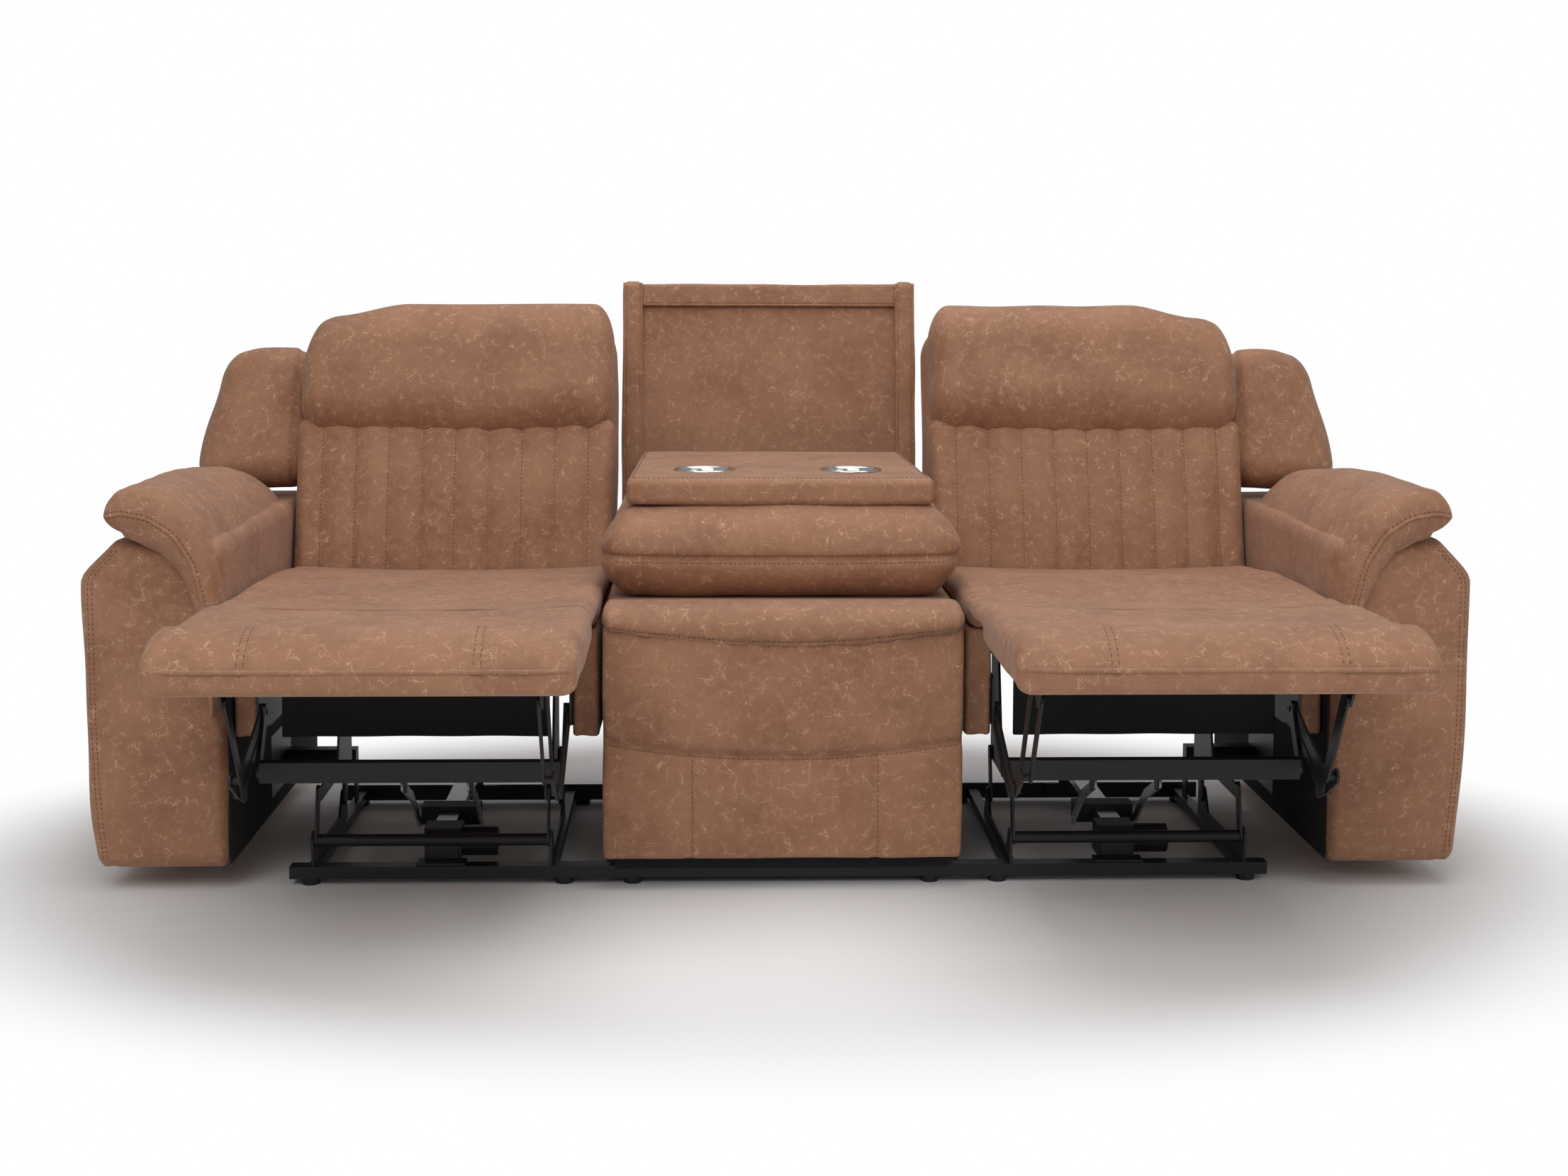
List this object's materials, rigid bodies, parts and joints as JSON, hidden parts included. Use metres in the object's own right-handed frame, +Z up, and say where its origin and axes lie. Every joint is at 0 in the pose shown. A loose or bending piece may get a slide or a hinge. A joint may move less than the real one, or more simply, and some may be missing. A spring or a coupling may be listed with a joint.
{
  "type": "sofa with drop down console",
  "caption": "Reclining three-seat sofa with padded footrests on folding links and a middle back that folds down into a console tray with cup holders.",
  "frame": {"origin": "on the floor, under the middle of the sofa's box with both footrests out", "axes": "+X along the seat row to the viewer's right from the front, +Y to the rear, +Z up; the front faces -Y"},
  "size_m": [2.24, 1.5434, 0.982],
  "materials": {
    "upholstery": "suede-like tan brown faux leather with pale crackle",
    "black_cloth": "black lining cloth over boards",
    "black_steel": "satin black",
    "zinc_steel": "zinc plated",
    "motor_case": "matt black",
    "carriage_plastic": "matt black",
    "foot_plastic": "matt black",
    "cup_chrome": "polished",
    "switch_trim": "satin black",
    "rocker_plastic": "matt dark grey"
  },
  "bodies": {
    "base": {"base_rails": "black_steel", "glide_feet": "foot_plastic", "mechanism_side_rails": "black_steel", "actuator_brackets": "zinc_steel", "drive_motors": "motor_case", "actuator_rails": "zinc_steel", "left_arm_body": "upholstery", "right_arm_body": "upholstery", "left_arm_pad": "upholstery", "right_arm_pad": "upholstery", "switch_plates": "switch_trim", "centre_seat_frame": "black_cloth", "centre_seat_cushion": "upholstery", "centre_front_panel": "upholstery", "centre_back_panel": "upholstery", "console_hinge_plates": "black_steel"},
    "console": {"console_tray": "upholstery", "cup_holders": "cup_chrome", "console_cushion": "upholstery", "console_arms": "black_steel"},
    "left_front_swing": {"left_front_swing": "black_steel"},
    "left_rear_swing": {"left_rear_swing": "black_steel"},
    "left_seat": {"left_seat_side_plates": "black_steel", "left_seat_frame": "upholstery", "left_seat_cushion": "upholstery", "left_chaise_flap": "upholstery"},
    "left_back": {"left_back_frame": "upholstery", "left_back_cushions": "upholstery", "left_back_hinge_arms": "black_steel"},
    "left_rear_link": {"left_rear_footrest_links": "black_steel"},
    "left_parallel_link": {"left_parallel_links": "black_steel"},
    "left_mid_bracket": {"left_mid_brackets": "black_steel"},
    "left_front_link": {"left_front_footrest_links": "black_steel"},
    "left_support_link": {"left_support_links": "black_steel"},
    "left_footrest": {"left_footrest_brackets": "black_steel", "left_footrest_pad": "upholstery"},
    "left_strap": {"left_drive_straps": "black_steel"},
    "left_carriage": {"left_carriage": "carriage_plastic"},
    "left_rocker": {"left_rocker": "rocker_plastic"},
    "right_front_swing": {"right_front_swing": "black_steel"},
    "right_rear_swing": {"right_rear_swing": "black_steel"},
    "right_seat": {"right_seat_side_plates": "black_steel", "right_seat_frame": "upholstery", "right_seat_cushion": "upholstery", "right_chaise_flap": "upholstery"},
    "right_back": {"right_back_frame": "upholstery", "right_back_cushions": "upholstery", "right_back_hinge_arms": "black_steel"},
    "right_rear_link": {"right_rear_footrest_links": "black_steel"},
    "right_parallel_link": {"right_parallel_links": "black_steel"},
    "right_mid_bracket": {"right_mid_brackets": "black_steel"},
    "right_front_link": {"right_front_footrest_links": "black_steel"},
    "right_support_link": {"right_support_links": "black_steel"},
    "right_footrest": {"right_footrest_brackets": "black_steel", "right_footrest_pad": "upholstery"},
    "right_strap": {"right_drive_straps": "black_steel"},
    "right_carriage": {"right_carriage": "carriage_plastic"},
    "right_rocker": {"right_rocker": "rocker_plastic"}
  },
  "joints": [
    {"name": "console_fold", "type": "hinge", "parent": "base", "child": "console", "pos_m": [0, 0.476, 0.5], "axis": [1, 0, 0], "range_deg": [-100, 0]},
    {"name": "left_front_swing_turn", "type": "hinge", "parent": "base", "child": "left_front_swing", "pos_m": [-0.596, -0.142, 0.072], "axis": [1, 0, 0], "range_deg": [0, 30]},
    {"name": "left_rear_swing_turn", "type": "hinge", "parent": "base", "child": "left_rear_swing", "pos_m": [-0.596, 0.153, 0.072], "axis": [1, 0, 0], "range_deg": [0, 30]},
    {"name": "left_seat_carry", "type": "hinge", "parent": "left_front_swing", "child": "left_seat", "pos_m": [-0.596, -0.12181, 0.14734], "axis": [1, 0, 0], "range_deg": [-30, 0]},
    {"name": "left_recline", "type": "hinge", "parent": "left_seat", "child": "left_back", "pos_m": [-0.596, 0.423, 0.33], "axis": [1, 0, 0], "range_deg": [-35, 0]},
    {"name": "left_footrest", "type": "hinge", "parent": "left_seat", "child": "left_rear_link", "pos_m": [-0.596, -0.157, 0.29], "axis": [1, 0, 0], "range_deg": [0, 99.2], "deforming": ["left_chaise_flap"]},
    {"name": "left_parallel_turn", "type": "hinge", "parent": "left_seat", "child": "left_parallel_link", "pos_m": [-0.596, -0.1174, 0.2759], "axis": [1, 0, 0], "range_deg": [0, 99.2]},
    {"name": "left_bracket_level", "type": "hinge", "parent": "left_rear_link", "child": "left_mid_bracket", "pos_m": [-0.596, -0.37201, 0.20833], "axis": [1, 0, 0], "range_deg": [-99.2, 0]},
    {"name": "left_front_link_turn", "type": "hinge", "parent": "left_rear_link", "child": "left_front_link", "pos_m": [-0.596, -0.37201, 0.20833], "axis": [1, 0, 0], "range_deg": [-104.5, 0]},
    {"name": "left_support_turn", "type": "hinge", "parent": "left_mid_bracket", "child": "left_support_link", "pos_m": [-0.596, -0.42921, 0.23833], "axis": [1, 0, 0], "range_deg": [-34, 0]},
    {"name": "left_footrest_turn", "type": "hinge", "parent": "left_front_link", "child": "left_footrest", "pos_m": [-0.596, -0.5069, 0.41524], "axis": [1, 0, 0], "range_deg": [0, 99]},
    {"name": "left_strap_turn", "type": "hinge", "parent": "left_rear_link", "child": "left_strap", "pos_m": [-0.596, -0.21123, 0.17799], "axis": [1, 0, 0], "range_deg": [-125, 0]},
    {"name": "left_carriage_slide", "type": "slide", "parent": "base", "child": "left_carriage", "axis": [0, 1, 0], "range_m": [0, 0.1235]},
    {"name": "left_rocker_tilt", "type": "hinge", "parent": "base", "child": "left_rocker", "pos_m": [-1.116, 0.083, 0.47], "axis": [0, 0, 1], "range_deg": [-6, 6], "stiffness_Nm_per_rad": 0.15},
    {"name": "right_front_swing_turn", "type": "hinge", "parent": "base", "child": "right_front_swing", "pos_m": [0.596, -0.142, 0.072], "axis": [1, 0, 0], "range_deg": [0, 30]},
    {"name": "right_rear_swing_turn", "type": "hinge", "parent": "base", "child": "right_rear_swing", "pos_m": [0.596, 0.153, 0.072], "axis": [1, 0, 0], "range_deg": [0, 30]},
    {"name": "right_seat_carry", "type": "hinge", "parent": "right_front_swing", "child": "right_seat", "pos_m": [0.596, -0.12181, 0.14734], "axis": [1, 0, 0], "range_deg": [-30, 0]},
    {"name": "right_recline", "type": "hinge", "parent": "right_seat", "child": "right_back", "pos_m": [0.596, 0.423, 0.33], "axis": [1, 0, 0], "range_deg": [-35, 0]},
    {"name": "right_footrest", "type": "hinge", "parent": "right_seat", "child": "right_rear_link", "pos_m": [0.596, -0.157, 0.29], "axis": [1, 0, 0], "range_deg": [0, 99.2], "deforming": ["right_chaise_flap"]},
    {"name": "right_parallel_turn", "type": "hinge", "parent": "right_seat", "child": "right_parallel_link", "pos_m": [0.596, -0.1174, 0.2759], "axis": [1, 0, 0], "range_deg": [0, 99.2]},
    {"name": "right_bracket_level", "type": "hinge", "parent": "right_rear_link", "child": "right_mid_bracket", "pos_m": [0.596, -0.37201, 0.20833], "axis": [1, 0, 0], "range_deg": [-99.2, 0]},
    {"name": "right_front_link_turn", "type": "hinge", "parent": "right_rear_link", "child": "right_front_link", "pos_m": [0.596, -0.37201, 0.20833], "axis": [1, 0, 0], "range_deg": [-104.5, 0]},
    {"name": "right_support_turn", "type": "hinge", "parent": "right_mid_bracket", "child": "right_support_link", "pos_m": [0.596, -0.42921, 0.23833], "axis": [1, 0, 0], "range_deg": [-34, 0]},
    {"name": "right_footrest_turn", "type": "hinge", "parent": "right_front_link", "child": "right_footrest", "pos_m": [0.596, -0.5069, 0.41524], "axis": [1, 0, 0], "range_deg": [0, 99]},
    {"name": "right_strap_turn", "type": "hinge", "parent": "right_rear_link", "child": "right_strap", "pos_m": [0.596, -0.21123, 0.17799], "axis": [1, 0, 0], "range_deg": [-125, 0]},
    {"name": "right_carriage_slide", "type": "slide", "parent": "base", "child": "right_carriage", "axis": [0, 1, 0], "range_m": [0, 0.1235]},
    {"name": "right_rocker_tilt", "type": "hinge", "parent": "base", "child": "right_rocker", "pos_m": [1.116, 0.083, 0.47], "axis": [0, 0, 1], "range_deg": [-6, 6], "stiffness_Nm_per_rad": 0.15}
  ],
  "couplings": [
    {"joint": "left_front_swing_turn", "follows": "left_recline", "ratio": -0.857},
    {"joint": "left_rear_swing_turn", "follows": "left_recline", "ratio": -0.857},
    {"joint": "left_seat_carry", "follows": "left_recline", "ratio": 0.857},
    {"joint": "left_parallel_turn", "follows": "left_footrest", "ratio": 1},
    {"joint": "left_bracket_level", "follows": "left_footrest", "ratio": -1},
    {"joint": "left_front_link_turn", "follows": "left_footrest", "ratio": -1.0408},
    {"joint": "left_support_turn", "follows": "left_footrest", "ratio": -0.27835},
    {"joint": "left_footrest_turn", "follows": "left_footrest", "ratio": 0.94808},
    {"joint": "left_strap_turn", "follows": "left_footrest", "ratio": -1.2458},
    {"joint": "left_carriage_slide", "follows": "left_footrest", "m_per_rad": 0.062705},
    {"joint": "right_front_swing_turn", "follows": "right_recline", "ratio": -0.857},
    {"joint": "right_rear_swing_turn", "follows": "right_recline", "ratio": -0.857},
    {"joint": "right_seat_carry", "follows": "right_recline", "ratio": 0.857},
    {"joint": "right_parallel_turn", "follows": "right_footrest", "ratio": 1},
    {"joint": "right_bracket_level", "follows": "right_footrest", "ratio": -1},
    {"joint": "right_front_link_turn", "follows": "right_footrest", "ratio": -1.0408},
    {"joint": "right_support_turn", "follows": "right_footrest", "ratio": -0.27835},
    {"joint": "right_footrest_turn", "follows": "right_footrest", "ratio": 0.94808},
    {"joint": "right_strap_turn", "follows": "right_footrest", "ratio": -1.2458},
    {"joint": "right_carriage_slide", "follows": "right_footrest", "m_per_rad": 0.062705}
  ]
}
